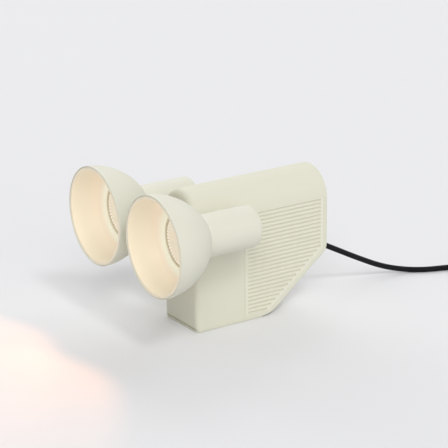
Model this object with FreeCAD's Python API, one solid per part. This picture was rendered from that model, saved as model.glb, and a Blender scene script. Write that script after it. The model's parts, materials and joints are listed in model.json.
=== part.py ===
import FreeCAD, Part
import math
import os
from FreeCAD import Vector

os.makedirs("parts", exist_ok=True)

# A table lamp with two tilting spot heads, one each side of a ribbed casing.
# X runs across the lamp, the heads face -Y, Z is up, and the feet stand on Z = 0.
# The origin is under the middle of the lamp, from the rims to the casing's rear face.
# All sizes in millimetres.

# Casing
casing_width = 56.5
casing_length = 146.5
axis_height = 102.5           # centre of the half-round top, and the heads' tilting axis
casing_wall = 3.0
floor_thickness = 4.2
foot_gap = 0.8                # casing clear of the table
chamfer_foot_from_front = 81.5  # where the rear chamfer would meet the bottom
chamfer_top_z = 52.5          # where it would meet the rear face
chamfer_foot_radius = 26.0
chamfer_top_radius = 12.0
front_edge_radius = 5.0
rear_edge_radius = 2.0

# Ribbed side panels
groove_count = 26
groove_top_z = 103.0
groove_bottom_z = 7.6
groove_width = 2.2
groove_depth = 0.9
groove_start_from_front = 55.5
groove_margin = 8.0           # from the groove ends to the rear face and the chamfer
border_from_front = 52.0      # upright line in front of the grooves
border_width = 1.3
border_depth = 0.6

# Pivot of each head
pivot_from_front = 26.0
casing_boss_radius = 12.0
casing_boss_proud = 0.8
casing_boss_depth = 4.0       # from the casing's side inwards
washer_seat_radius = 10.2
bush_outer_radius = 7.0
bush_flange_radius = 11.0
bush_flange_thickness = 1.0
axle_radius = 5.0             # M10 hollow stud
axle_bore_radius = 3.4
axle_thread_spare = 1.0       # beyond the nut
axle_flange_radius = 8.0
axle_flange_thickness = 2.0
washer_thickness = 1.0
washer_radius = 9.0
spring_height = 1.3
spring_thickness = 0.6
nut_across_flats = 16.0
nut_thickness = 5.0
running_clearance = 0.05

# Heads
rim_radius = 46.6
bowl_depth = 47.0             # rim plane to neck
bowl_arc_radius = 59.0
neck_edge_radius = 5.0
fold_radius = 2.5             # between the bowl and the neck
shell_wall = 2.0
lip_thickness = 0.9
lip_rounding = 0.3
rebate_depth = 1.6
neck_boss_radius = 11.0
neck_boss_length = 2.15       # from the bush's flange to the neck's side
neck_pad_radius = 9.5
neck_pad_depth = 5.0          # from the neck's side to the flat pad inside it
bracket_boss_radius = 3.2
bracket_boss_length = 4.0
bracket_hole_spacing = 18.0

# Liner
liner_wall = 1.1
liner_gap = 0.4               # between the liner and the bowl's wall
seam_gap = 0.4                # open line round the rim
liner_recess = 0.4            # liner edge behind the rim plane
knuckle_radius = 9.0
collar_length = 2.2

# Lamp, GU10 with a 50 mm face
lamp_radius = 24.9
lamp_clearance = 1.2          # round its face, in the liner
lamp_recess = 0.8             # its face behind the liner's floor
lamp_rim_width = 1.2
lamp_rim_length = 3.0
lens_thickness = 2.0
lens_rib_count = 46           # short radial ribs moulded on the lens
lens_rib_length = 2.6
lens_rib_width = 1.2
lens_rib_height = 0.3
lens_rib_margin = 0.5         # from their outer ends to the lens's edge
lamp_waist_depth = 16.0
lamp_waist_radius = 17.4
lamp_waist_gap = 0.1          # round it, inside the neck
lamp_waist_from_neck = 1.8    # in front of the bowl's end
lamp_heel_depth = 31.0
lamp_heel_radius = 9.8
lamp_cap_radius = 9.0
lamp_length = 40.0            # without its pins
pin_spacing = 10.0
pin_radius = 1.5
pin_head_radius = 2.4
pin_length = 7.0
pin_head_length = 2.5

# Lamp holder and its bracket
holder_width = 17.0
holder_height = 27.0
holder_length = 18.0
holder_behind_pivot = 2.2     # how far it reaches past the tilting axis
holder_edge_radius = 1.5
holder_hole_clearance = 0.3
bracket_width = 9.0
bracket_thickness = 1.0
bracket_overlap = 14.0        # how far its legs reach along the holder
screw_radius = 1.5
screw_head_radius = 2.8
screw_head_height = 2.0
screw_length = 8.0            # base plate screws, over all
screw_tip_gap = 0.5           # bracket screws short of the neck's end wall
screw_clearance = 0.05

# Base plate and feet
plate_thickness = 2.0
plate_recess = 2.2
plate_clearance = 0.3
plate_inset = 4.5             # recess in the casing's bottom from its outline
plate_rear_from_front = 69.0
ledge_width = 3.0
post_radius = 4.8
post_height = 9.0
post_inset = 5.2              # posts from the plate's side edge
post_front_from_front = 22.0
post_rear_from_front = 52.0
foot_radius = 4.5
foot_inset = 5.5

# Wiring
terminal_width = 22.0
terminal_length = 20.0
terminal_height = 14.0
terminal_from_front = 24.0
terminal_hole_depth = 8.0
terminal_pitch = 8.0
terminal_clearance = 0.2
lead_radius = 1.6
lead_gap = 0.3                # between the lead and the lamp holder
lead_loop = 5.3               # the lead's loop behind the holder
lead_loop_gap = 3.4           # between the loop and the bracket
head_lead_bend = 3.4
lead_drop = 24.0
lead_bend = 7.0
lead_meeting_x = 31.0         # where the moving and the fixed lead meet, on the tilting axis

# Cord, its strain relief, switch and plug
cord_radius = 2.65
cord_length = 1800.0
gland_angle = 28.0            # below the horizontal
gland_z = 54.1                # height of its axis at the rear face
gland_seat_depth = 2.5        # flange seat, along the axis from the rear face
gland_flange_radius = 7.0
gland_flange_thickness = 2.0
gland_taper_length = 18.0
gland_groove_count = 4        # rings cut in the taper, so that it bends
gland_groove_width = 1.4
gland_groove_wall = 0.75      # left round the cord's bore
gland_nose_radius = 3.8
gland_mouth_radius = 5.4
gland_stem_radius = 5.0
gland_boss_radius = 9.0
gland_boss_depth = 6.5
gland_nut_radius = 8.5
gland_nut_thickness = 3.0
gland_stem_spare = 2.0        # beyond its nut
gland_clearance = 0.1
cord_end_straight = 36.0      # inside the casing, in line with the strain relief
cord_end_turn = 34.0          # its bend down to the terminal block
cord_end_rise = 9.0
cord_end_bend = 12.0
coil_radius = 31.7            # middle of the turns
coil_turn_pitch = 5.4
coil_turns_across = 4
coil_layer_rise = 5.35
switch_length = 54.0
switch_width = 24.0
switch_height = 15.0
switch_split_z = 7.0
switch_corner_radius = 5.0
switch_edge_radius = 1.5
switch_clearance = 0.35
switch_on_run = 7             # which run of the cord's route carries it
rocker_length = 17.0
rocker_width = 10.0
rocker_taper = 0.7            # shorter at the top, at each end
rocker_gap = 0.4
rocker_pivot_drop = 3.0       # its trunnions below the top of the switch
rocker_keel = 1.6             # its underside below the trunnions' axis
rocker_trunnion_radius = 1.0
rocker_trunnion_length = 1.4
rocker_hollow = 1.2           # thumb hollow in its top
rocker_rise = 1.8             # its two ends above the top of the switch
rocker_tilt = 8.0
plug_length = 36.0
plug_width = 35.0
plug_height = 14.0
plug_nose_width = 26.0
plug_shoulder_share = 0.33    # of its length, at each end
plug_edge = 2.5
plug_neck_length = 20.0
plug_neck_radius = 5.0
plug_neck_end_radius = 3.4
plug_pin_radius = 2.0
plug_pin_length = 19.0
plug_pin_spacing = 19.0
plug_pin_round = 1.2

# Points of the free cord on its way to the coil, as (x, y behind the casing, z). They are
# chosen by hand. The first two, on the strain relief's axis, come from its own sizes.
cord_first_run = 28.9
cord_route = [
    (0.5, 56.5, 23.9),
    (4.0, 87.0, 9.3),
    (9.5, 109.0, 2.8),
    (18.0, 126.0, 2.65),
    (28.5, 147.5, 2.65),
    (45.0, 176.1, 5.5),
    (82.4, 230.5, 5.5),
    (103.6, 255.8, 2.65),
]

# Points of its tail, from the coil to the plug
tail_route = [
    (175.5, 223.3, 8.0),
    (173.5, 212.2, 7.6),
    (171.1, 200.9, 7.0),
    (168.1, 189.9, 7.0),
]

# Derived places
lamp_to_neck = lamp_waist_depth + lamp_waist_from_neck
neck_reach = lamp_length + holder_length - holder_behind_pivot - lamp_to_neck
rim_reach = neck_reach + bowl_depth
neck_radius = lamp_waist_radius + lamp_waist_gap + shell_wall
aperture_radius = lamp_radius + lamp_clearance
aperture_depth = bowl_depth - lamp_to_neck - lamp_recess
half_width = casing_width / 2
casing_top = axis_height + half_width
front_y = (rim_reach - pivot_from_front - casing_length) / 2
rear_y = front_y + casing_length
pivot_y = front_y + pivot_from_front
rim_y = pivot_y - rim_reach
boss_face_x = half_width + casing_boss_proud
neck_boss_face_x = boss_face_x + bush_flange_thickness
head_x = neck_boss_face_x + neck_boss_length + neck_radius
washer_seat_x = half_width - casing_boss_depth
spring_seat_x = washer_seat_x - washer_thickness
nut_seat_x = spring_seat_x - spring_height
pad_x = head_x - neck_radius + neck_pad_depth
chamfer_foot_y = front_y + chamfer_foot_from_front
chamfer_angle = math.atan2(chamfer_top_z - foot_gap, rear_y - chamfer_foot_y)
plate_top_z = foot_gap + plate_recess
plate_bottom_z = plate_top_z - plate_thickness
recess_x = half_width - plate_inset
terminal_top_z = plate_top_z + terminal_height
terminal_y = front_y + terminal_from_front + terminal_length / 2
lamp_face_y = rim_y + bowl_depth - lamp_to_neck
holder_front_y = lamp_face_y + lamp_length
holder_back_y = holder_front_y + holder_length
lead_turn_y = holder_back_y + lead_loop
bracket_back_y = lead_turn_y + lead_radius + lead_loop_gap + bracket_thickness
neck_end_y = bracket_back_y + bracket_boss_length + shell_wall
screw_hole_radius = screw_radius + screw_clearance
axle_hole_radius = axle_radius + running_clearance
touch = 0.01                  # two places closer than this are the same place
through = 1.0                 # how far a cutter runs past the face that it opens


# ---------------------------------------------------------------- drawing aids

def cylinder(radius, start, end):
    """Round bar between two points."""
    a, b = Vector(*start), Vector(*end)
    return Part.makeCylinder(radius, (b - a).Length, a, b - a)


def block(low, high):
    """Box between two opposite corners."""
    a, b = Vector(*low), Vector(*high)
    return Part.makeBox(b.x - a.x, b.y - a.y, b.z - a.z, a)


def on_pivot(radius, x0, x1):
    """Round bar along the heads' tilting axis."""
    return cylinder(radius, (x0, pivot_y, axis_height), (x1, pivot_y, axis_height))


def along_head(radius, y0, y1, rise=0.0):
    """Round bar along a head's own axis, or above it by rise."""
    z = axis_height + rise
    return cylinder(radius, (head_x, y0, z), (head_x, y1, z))


def edges_where(shape, test):
    """Edges of which both ends and the middle pass a test."""
    def passes(edge):
        first, last = edge.FirstParameter, edge.LastParameter
        return all(test(edge.valueAt(first + t * (last - first))) for t in (0.0, 0.5, 1.0))
    return [edge for edge in shape.Edges if passes(edge)]


class Outline:
    """A closed flat outline of lines and arcs, drawn as pairs of sizes."""

    def __init__(self, *start):
        self.start = self.at = start
        self.pieces = []

    def line(self, *to):
        self.pieces.append((self.at, None, to))
        self.at = to

    def arc(self, via, to):
        self.pieces.append((self.at, via, to))
        self.at = to

    def quarter(self, centre, radius, start_angle, turn=90):
        """Arc about a centre, from one angle through a turn, in degrees."""
        def at(angle):
            a = math.radians(angle)
            return (centre[0] + radius * math.cos(a), centre[1] + radius * math.sin(a))
        self.line(*at(start_angle))
        self.arc(at(start_angle + turn / 2), at(start_angle + turn))

    def face(self, lift):
        """The outline as a face, with lift() turning each pair into a place in space."""
        if math.dist(self.at, self.start) > touch:
            self.line(*self.start)
        edges = []
        for start, via, end in self.pieces:
            if math.dist(start, end) < touch:
                continue
            a, b = Vector(*lift(*start)), Vector(*lift(*end))
            if via:
                edges.append(Part.Arc(a, Vector(*lift(*via)), b).toShape())
            else:
                edges.append(Part.makeLine(a, b))
        return Part.Face(Part.Wire(edges))

    def turned(self, x, z):
        """Turned about the line along Y through (x, z): pairs are (radius, y)."""
        face = self.face(lambda radius, y: (x + radius, y, z))
        return face.revolve(Vector(x, 0, z), Vector(0, 1, 0), 360)

    def turned_across(self, y, z):
        """Turned about the line along X through (y, z): pairs are (radius, x)."""
        face = self.face(lambda radius, x: (x, y + radius, z))
        return face.revolve(Vector(0, y, z), Vector(1, 0, 0), 360)

    def turned_upright(self, x, y):
        """Turned about the upright line through (x, y): pairs are (radius, z)."""
        face = self.face(lambda radius, z: (x + radius, y, z))
        return face.revolve(Vector(x, y, 0), Vector(0, 0, 1), 360)


def rounded_edges(corners, closed):
    """Straight runs through corners given as (point, radius), joined by tangent arcs."""
    count = len(corners)
    edges = []
    first = last = None
    for i, (point, radius) in enumerate(corners):
        here = Vector(*point)
        if radius == 0:
            enter = leave = here
        else:
            back = (Vector(*corners[i - 1][0]) - here).normalize()
            ahead = (Vector(*corners[(i + 1) % count][0]) - here).normalize()
            half_turn = (math.pi - back.getAngle(ahead)) / 2
            reach = radius * math.tan(half_turn)
            enter, leave = here + back * reach, here + ahead * reach
            inwards = (back + ahead).normalize() * (radius / math.cos(half_turn) - radius)
        if last is not None and (enter - last).Length > touch:
            edges.append(Part.makeLine(last, enter))
        if radius > 0:
            edges.append(Part.Arc(enter, here + inwards, leave).toShape())
        first = first or enter
        last = leave
    if closed and (first - last).Length > touch:
        edges.append(Part.makeLine(last, first))
    return edges


def route_corners(points):
    """Route points with the radius of each arc: 0.45 of its shorter run over tan(half turn)."""
    corners = [(points[0], 0)]
    for before, here, after in zip(points, points[1:], points[2:]):
        a, b = Vector(*here) - Vector(*before), Vector(*after) - Vector(*here)
        corners.append((here, 0.45 * min(a.Length, b.Length) / math.tan(a.getAngle(b) / 2)))
    corners.append((points[-1], 0))
    return corners


def bend_corners(points, radius):
    """Points of a lead inside the lamp, with one bend radius."""
    return [(point, 0 if point in (points[0], points[-1]) else radius) for point in points]


def tube(corners, radius):
    """Round tube along a route, and the length of its centre line."""
    path = Part.Wire(rounded_edges(corners, closed=False))
    start, ahead = Vector(*corners[0][0]), Vector(*corners[1][0])
    section = Part.Wire(Part.makeCircle(radius, start, ahead - start))
    return path.makePipeShell([section], True, False), path.Length


def mirrored(shape):
    return shape.mirror(Vector(0, 0, 0), Vector(1, 0, 0))


def heading_of(start, end):
    """Direction seen from above, in degrees clockwise from +Y."""
    return math.degrees(math.atan2(end[0] - start[0], end[1] - start[1]))


def laid(shape, point, heading):
    """A piece drawn along +Y at the origin, turned clockwise seen from above and set down."""
    moved = shape.copy()
    moved.rotate(Vector(0, 0, 0), Vector(0, 0, 1), -heading)
    moved.translate(Vector(point[0], point[1], 0))
    return moved


def export(node, shape):
    shape.exportStep(f"parts/{node}.step")


# ---------------------------------------------------------------- casing

def side_prism(inset):
    """The casing's outline seen from the side, moved in by inset and run across the lamp."""
    low, front, rear = foot_gap + inset, front_y + inset, rear_y - inset
    slope = math.tan(chamfer_angle)
    slide = inset / math.sin(chamfer_angle)
    foot = chamfer_foot_y + inset / slope - slide
    heel = foot_gap + (rear - chamfer_foot_y + slide) * slope
    above = casing_top + through
    x = -casing_width
    corners = [
        ((x, front, low), 0),
        ((x, foot, low), chamfer_foot_radius - inset),
        ((x, rear, heel), chamfer_top_radius - inset),
        ((x, rear, above), 0),
        ((x, front, above), 0),
    ]
    face = Part.Face(Part.Wire(rounded_edges(corners, closed=True)))
    return face.extrude(Vector(2 * casing_width, 0, 0))


def arch_prism(inset):
    """The casing's half-round section, moved in by inset and run from front to rear."""
    half = half_width - inset
    shape = Outline(-half, foot_gap)
    shape.line(half, foot_gap)
    shape.line(half, axis_height)
    shape.arc((0, axis_height + half), (-half, axis_height))
    face = shape.face(lambda x, z: (x, front_y, z))
    return face.extrude(Vector(0, casing_length, 0))


def casing_outside():
    """Outer form: broad rounding round the front face, fine rounding on the other edges."""
    body = arch_prism(0).common(side_prism(0))
    body = body.makeFillet(front_edge_radius, edges_where(body, lambda p: p.y < front_y + touch))
    clear_y = front_y + front_edge_radius + touch

    def on_side_edge(p):
        return abs(abs(p.x) - half_width) < touch and p.z < axis_height - touch

    # the fine rounding also runs on over the arch at the rear
    edges = [edge for edge in edges_where(body, on_side_edge) if edge.BoundBox.YMax > clear_y]
    return body.makeFillet(rear_edge_radius, edges)


def groove_radius(width, depth):
    """Radius of a round cutter that leaves a groove of this width and depth."""
    half = width / 2
    return (half * half + depth * depth) / (2 * depth)


def groove(z, start, end):
    """Cutter for one level groove with round ends, on the +X side."""
    radius = groove_radius(groove_width, groove_depth)
    shape = Outline(0, start)
    shape.quarter((0, start + radius), radius, -90)
    shape.quarter((0, end - radius), radius, 0)
    return shape.turned(half_width - groove_depth + radius, z)


def border():
    """Cutter for the fine upright line in front of the grooves, on the +X side."""
    radius = groove_radius(border_width, border_depth)
    low, high = foot_gap + rear_edge_radius, groove_top_z
    shape = Outline(0, low)
    shape.quarter((0, low + radius), radius, -90)
    shape.quarter((0, high - radius), radius, 0)
    x = half_width - border_depth + radius
    return shape.turned_upright(x, front_y + border_from_front)


def side_grooves():
    """All cutters of the +X side. The grooves end along the rear face and the chamfer."""
    pitch = (groove_top_z - groove_bottom_z) / (groove_count - 1)
    start = front_y + groove_start_from_front
    cutters = [border()]
    for i in range(groove_count):
        z = groove_bottom_z + i * pitch
        chamfer_y = chamfer_foot_y + (z - foot_gap) / math.tan(chamfer_angle)
        end = min(rear_y - groove_margin, chamfer_y - groove_margin / math.sin(chamfer_angle))
        cutters.append(groove(z, start, end))
    return Part.makeCompound(cutters)


def gland_point(out):
    """A place on the strain relief's axis, measured outwards from the rear face."""
    tilt = math.radians(gland_angle)
    return (0.0, rear_y + out * math.cos(tilt), gland_z - out * math.sin(tilt))


def on_gland(radius, start, end):
    return cylinder(radius, gland_point(start), gland_point(end))


def post_places():
    x = recess_x - post_inset
    rows = (front_y + post_front_from_front, front_y + post_rear_from_front)
    return [(side * x, y) for side in (-1, 1) for y in rows]


def casing():
    outside = casing_outside()
    cavity = arch_prism(casing_wall).common(side_prism(casing_wall))
    lift = foot_gap + floor_thickness
    cavity = cavity.common(block((-casing_width, front_y, lift), (casing_width, rear_y, casing_top)))
    body = outside.cut(cavity)
    # bosses for the pivots and the strain relief, and posts for the base plate's screws
    for side in (-1, 1):
        body = body.fuse(on_pivot(casing_boss_radius, side * washer_seat_x, side * boss_face_x))
    body = body.fuse(on_gland(gland_boss_radius, -gland_boss_depth, gland_boss_depth).common(outside))
    for x, y in post_places():
        top = plate_top_z + post_height
        body = body.fuse(cylinder(post_radius, (x, y, plate_top_z), (x, y, top)))
    # recess for the base plate, and the opening above it, which leaves a ledge and the posts
    low, rear = foot_gap - through, front_y + plate_rear_from_front
    body = body.cut(block((-recess_x, front_y + plate_inset, low), (recess_x, rear, plate_top_z)))
    opening = block((ledge_width - recess_x, front_y + plate_inset + ledge_width, low),
                    (recess_x - ledge_width, rear - ledge_width, lift + through))
    for x, y in post_places():
        opening = opening.cut(cylinder(post_radius, (x, y, low), (x, y, lift + through)))
    body = body.cut(opening)
    # bores and seats
    for x, y in post_places():
        depth = plate_bottom_z + screw_length + through
        body = body.cut(cylinder(screw_hole_radius, (x, y, low), (x, y, depth)))
    for side in (-1, 1):
        seat, face = side * washer_seat_x, side * boss_face_x
        body = body.cut(on_pivot(washer_seat_radius, side * nut_seat_x, seat))
        body = body.cut(on_pivot(bush_outer_radius, seat - side * through, face + side * through))
    seat_radius = gland_flange_radius + gland_clearance
    stem_radius = gland_stem_radius + gland_clearance
    nut_end = -gland_boss_depth - gland_nut_thickness
    body = body.cut(on_gland(seat_radius, -gland_seat_depth, gland_boss_radius))
    body = body.cut(on_gland(stem_radius, nut_end, 0))
    body = body.cut(on_gland(gland_nut_radius + gland_clearance, nut_end, -gland_boss_depth))
    cutters = side_grooves()
    return body.cut(cutters).cut(mirrored(cutters))


def base_plate():
    x = recess_x - plate_clearance
    front = front_y + plate_inset + plate_clearance
    rear = front_y + plate_rear_from_front - plate_clearance
    plate = block((-x, front, plate_bottom_z), (x, rear, plate_top_z))
    for px, py in post_places():
        plate = plate.cut(base_screw(px, py, screw_clearance))
    return plate


def base_screw(x, y, extra=0.0):
    """Countersunk screw from below, its head flush with the plate. extra makes its hole."""
    shank, head = screw_radius + extra, screw_head_radius + extra
    shape = Outline(0, plate_bottom_z)
    shape.line(head, plate_bottom_z)
    shape.line(shank, plate_bottom_z + head - shank)
    shape.line(shank, plate_bottom_z + screw_length)
    shape.line(0, plate_bottom_z + screw_length)
    return shape.turned_upright(x, y)


def base_screws():
    return Part.makeCompound([base_screw(x, y) for x, y in post_places()])


def rubber_feet():
    x = recess_x - foot_inset
    front = front_y + plate_inset + foot_inset
    rear = front_y + plate_rear_from_front - foot_inset
    feet = [cylinder(foot_radius, (px, py, 0), (px, py, plate_bottom_z))
            for px in (-x, x) for py in (front, rear)]
    return Part.makeCompound(feet)


# ---------------------------------------------------------------- pivots, on the +X side

def pivot_bush():
    """Flanged plastic bush in the casing's boss."""
    bush = on_pivot(bush_outer_radius, washer_seat_x, boss_face_x)
    bush = bush.fuse(on_pivot(bush_flange_radius, boss_face_x, neck_boss_face_x))
    bore = on_pivot(axle_hole_radius, washer_seat_x - through, neck_boss_face_x + through)
    return bush.cut(bore)


def pivot_axle():
    """Hollow stud with a flange on the pad inside the neck, and a thread for the nut."""
    end = nut_seat_x - nut_thickness - axle_thread_spare
    axle = on_pivot(axle_radius, end, pad_x)
    axle = axle.fuse(on_pivot(axle_flange_radius, pad_x, pad_x + axle_flange_thickness))
    return axle.cut(on_pivot(axle_bore_radius, end - through, pad_x + 2 * axle_flange_thickness))


def pivot_washer():
    washer = on_pivot(washer_radius, spring_seat_x, washer_seat_x)
    return washer.cut(on_pivot(axle_hole_radius, spring_seat_x - through, washer_seat_x + through))


def pivot_spring():
    """Conical disc spring between the washer and the nut, which gives the head its friction."""
    shape = Outline(axle_hole_radius, nut_seat_x)
    shape.line(axle_hole_radius, nut_seat_x + spring_thickness)
    shape.line(washer_radius, spring_seat_x)
    shape.line(washer_radius, spring_seat_x - spring_thickness)
    return shape.turned_across(pivot_y, axis_height)


def pivot_nut():
    """Hexagon nut, one of its corners pointing forward."""
    reach = nut_across_flats / 2 / math.cos(math.pi / 6)
    corners = []
    for k in range(7):
        a = math.radians(60 * k)
        y, z = pivot_y + reach * math.cos(a), axis_height + reach * math.sin(a)
        corners.append(Vector(nut_seat_x, y, z))
    nut = Part.Face(Part.makePolygon(corners)).extrude(Vector(-nut_thickness, 0, 0))
    end = nut_seat_x - nut_thickness
    return nut.cut(on_pivot(axle_hole_radius, end - through, nut_seat_x + through))


# ---------------------------------------------------------------- heads, on the +X side

class BowlArc:
    """The bowl's section: an arc through the rim and the neck, and arcs concentric with it."""

    def __init__(self, inset=0.0):
        chord = math.dist((rim_radius, 0), (neck_radius, bowl_depth))
        back = math.sqrt(bowl_arc_radius ** 2 - (chord / 2) ** 2) / chord
        self.r = (rim_radius + neck_radius) / 2 - back * bowl_depth
        self.depth = bowl_depth / 2 - back * (rim_radius - neck_radius)
        self.arc_radius = bowl_arc_radius - inset

    def radius_at(self, depth):
        """Radius of the bowl at a depth behind the rim plane."""
        return self.r + math.sqrt(self.arc_radius ** 2 - (depth - self.depth) ** 2)

    def depth_at(self, radius):
        return self.depth + math.sqrt(self.arc_radius ** 2 - (radius - self.r) ** 2)

    def draw(self, shape, start, end):
        """Adds the arc to an outline, from one depth to another."""
        middle = (start + end) / 2
        shape.line(self.radius_at(start), rim_y + start)
        shape.arc((self.radius_at(middle), rim_y + middle), (self.radius_at(end), rim_y + end))


def head_outside():
    """Bowl, neck with its rounded closed tail, and the boss that meets the casing."""
    shape = Outline(0, rim_y)
    BowlArc().draw(shape, 0, bowl_depth)
    edge = neck_edge_radius
    shape.quarter((neck_radius - edge, neck_end_y - edge), edge, 0)
    shape.line(0, neck_end_y)
    outside = shape.turned(head_x, axis_height)
    fold_y = rim_y + bowl_depth
    fold = edges_where(outside, lambda p: abs(p.y - fold_y) < touch)
    outside = outside.makeFillet(fold_radius, fold)
    return outside.fuse(on_pivot(neck_boss_radius, neck_boss_face_x, head_x - neck_radius / 2))


def head_inside():
    """Room inside the shell, with a rebate behind the rim that the liner sits in."""
    arc = BowlArc(shell_wall)
    lip = rim_radius - lip_thickness
    neck = neck_radius - shell_wall
    tail = neck_end_y - shell_wall
    edge = neck_edge_radius - shell_wall
    shape = Outline(0, rim_y - through)
    shape.line(lip, rim_y - through)
    shape.line(lip, rim_y + rebate_depth)
    arc.draw(shape, rebate_depth, arc.depth_at(neck))
    shape.quarter((neck - edge, tail - edge), edge, 0)
    shape.line(0, tail)
    return shape.turned(head_x, axis_height)


def bracket_rises():
    """Heights of the bracket's two screws from the head's axis."""
    return (-bracket_hole_spacing / 2, bracket_hole_spacing / 2)


def head_shell():
    """Thin cast shell with a flat pad for the axle and two bosses for the holder's bracket."""
    shell = head_outside().cut(head_inside())
    middle_radius = neck_radius - shell_wall / 2
    pad = on_pivot(neck_pad_radius, head_x - middle_radius, pad_x)
    room = along_head(middle_radius, rim_y + bowl_depth, neck_end_y - shell_wall)
    shell = shell.fuse(pad.common(room))
    rim = edges_where(shell, lambda p: abs(p.y - rim_y) < touch)
    shell = shell.makeFillet(lip_rounding, rim)
    inner_end = neck_end_y - shell_wall
    for rise in bracket_rises():
        shell = shell.fuse(along_head(bracket_boss_radius, bracket_back_y, inner_end, rise))
        shell = shell.cut(along_head(screw_hole_radius, bracket_back_y - through, inner_end, rise))
    return shell.cut(on_pivot(axle_hole_radius, neck_boss_face_x - through, pad_x + through))


def liner():
    """Reflecting bowl inside the shell, ending in a floor ring and a collar round the lamp."""
    flange = rim_radius - lip_thickness - seam_gap
    front = BowlArc(shell_wall + liner_gap + liner_wall)
    back = BowlArc(shell_wall + liner_gap)
    floor_y = rim_y + aperture_depth
    collar_y = floor_y + liner_wall + collar_length

    def knuckle(arc, radius, floor):
        """Centre of the small arc from the bowl to its floor, where it leaves, and its middle."""
        depth = floor - radius
        r = arc.r + math.sqrt((arc.arc_radius - radius) ** 2 - (depth - arc.depth) ** 2)
        angle = math.atan2(depth - arc.depth, r - arc.r)
        bisector = (angle + math.pi / 2) / 2
        leave = depth + radius * math.sin(angle)
        via = (r + radius * math.cos(bisector), rim_y + depth + radius * math.sin(bisector))
        return leave, via, (r, rim_y + floor)

    leave, via, floor = knuckle(front, knuckle_radius, aperture_depth)
    shape = Outline(flange, rim_y + rebate_depth)
    shape.line(flange, rim_y + liner_recess)
    front.draw(shape, liner_recess, leave)
    shape.arc(via, floor)
    shape.line(aperture_radius, floor_y)
    shape.line(aperture_radius, collar_y)
    shape.line(aperture_radius + liner_wall, collar_y)
    shape.line(aperture_radius + liner_wall, floor_y + liner_wall)
    leave, via, floor = knuckle(back, knuckle_radius + liner_wall, aperture_depth + liner_wall)
    shape.line(*floor)
    shape.arc(via, (back.radius_at(leave), rim_y + leave))
    back.draw(shape, leave, rebate_depth)
    return shape.turned(head_x, axis_height)


def lamp_reflector():
    """Glass body of the lamp, with a seat for its front lens."""
    seat = lamp_radius - lamp_rim_width
    shape = Outline(0, lamp_face_y + lens_thickness)
    shape.line(seat, lamp_face_y + lens_thickness)
    shape.line(seat, lamp_face_y)
    shape.line(lamp_radius, lamp_face_y)
    shape.line(lamp_radius, lamp_face_y + lamp_rim_length)
    shape.arc((lamp_waist_radius, lamp_face_y + lamp_waist_depth),
              (lamp_heel_radius, lamp_face_y + lamp_heel_depth))
    shape.line(0, lamp_face_y + lamp_heel_depth)
    return shape.turned(head_x, axis_height)


def lamp_lens():
    """Front glass, with a ring of short radial ribs near its edge."""
    radius = lamp_radius - lamp_rim_width
    end = head_x + radius - lens_rib_margin
    half = lens_rib_width / 2
    rib = block((end - lens_rib_length, lamp_face_y - lens_rib_height, axis_height - half),
                (end, lamp_face_y + lens_thickness / 2, axis_height + half))
    ribs = []
    for k in range(lens_rib_count):
        turned = rib.copy()
        turned.rotate(Vector(head_x, 0, axis_height), Vector(0, 1, 0), 360 * k / lens_rib_count)
        ribs.append(turned)
    lens = along_head(radius, lamp_face_y, lamp_face_y + lens_thickness)
    return lens.fuse(ribs).removeSplitter()


def lamp_cap():
    return along_head(lamp_cap_radius, lamp_face_y + lamp_heel_depth, holder_front_y)


def lamp_pins():
    """Two contact pins with wider ends, side by side in height."""
    pins = []
    end = holder_front_y + pin_length
    for rise in (-pin_spacing / 2, pin_spacing / 2):
        pin = along_head(pin_radius, holder_front_y, end, rise)
        head = along_head(pin_head_radius, end - pin_head_length, end, rise)
        pins.append(pin.fuse(head).removeSplitter())
    return Part.makeCompound(pins)


def lamp_holder():
    """Ceramic block with a hole for each pin."""
    w, h = holder_width / 2, holder_height / 2
    body = block((head_x - w, holder_front_y, axis_height - h),
                 (head_x + w, holder_back_y, axis_height + h))
    long_edges = [edge for edge in body.Edges if edge.BoundBox.YLength > holder_length - touch]
    body = body.makeFillet(holder_edge_radius, long_edges)
    for rise in (-pin_spacing / 2, pin_spacing / 2):
        radius = pin_head_radius + holder_hole_clearance
        end = holder_front_y + pin_length + holder_hole_clearance
        body = body.cut(along_head(radius, holder_front_y - through, end, rise))
    return body


def holder_bracket():
    """U-shaped strip: its base is screwed to the neck's tail, and its legs grip the holder."""
    w, h = bracket_width / 2, holder_height / 2
    outer = h + bracket_thickness
    front = holder_back_y - bracket_overlap
    base = bracket_back_y - bracket_thickness
    strip = block((head_x - w, front, axis_height - outer),
                  (head_x + w, bracket_back_y, axis_height + outer))
    strip = strip.cut(block((head_x - bracket_width, front - through, axis_height - h),
                            (head_x + bracket_width, base, axis_height + h)))
    for rise in bracket_rises():
        strip = strip.cut(along_head(screw_hole_radius, base - through,
                                     bracket_back_y + through, rise))
    return strip


def bracket_screws():
    seat = bracket_back_y - bracket_thickness
    tip = neck_end_y - shell_wall - screw_tip_gap
    screws = []
    for rise in bracket_rises():
        shank = along_head(screw_radius, seat, tip, rise)
        head = along_head(screw_head_radius, seat - screw_head_height, seat, rise)
        screws.append(shank.fuse(head).removeSplitter())
    return Part.makeCompound(screws)


def head_lead():
    """Sleeved pair from the tilting axis round to the back of the holder."""
    side_x = head_x - holder_width / 2 - lead_radius - lead_gap
    points = [
        (lead_meeting_x, pivot_y, axis_height),
        (side_x, pivot_y, axis_height),
        (side_x, lead_turn_y, axis_height),
        (head_x, lead_turn_y, axis_height),
        (head_x, holder_back_y, axis_height),
    ]
    return tube(bend_corners(points, head_lead_bend), lead_radius)[0]


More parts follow.
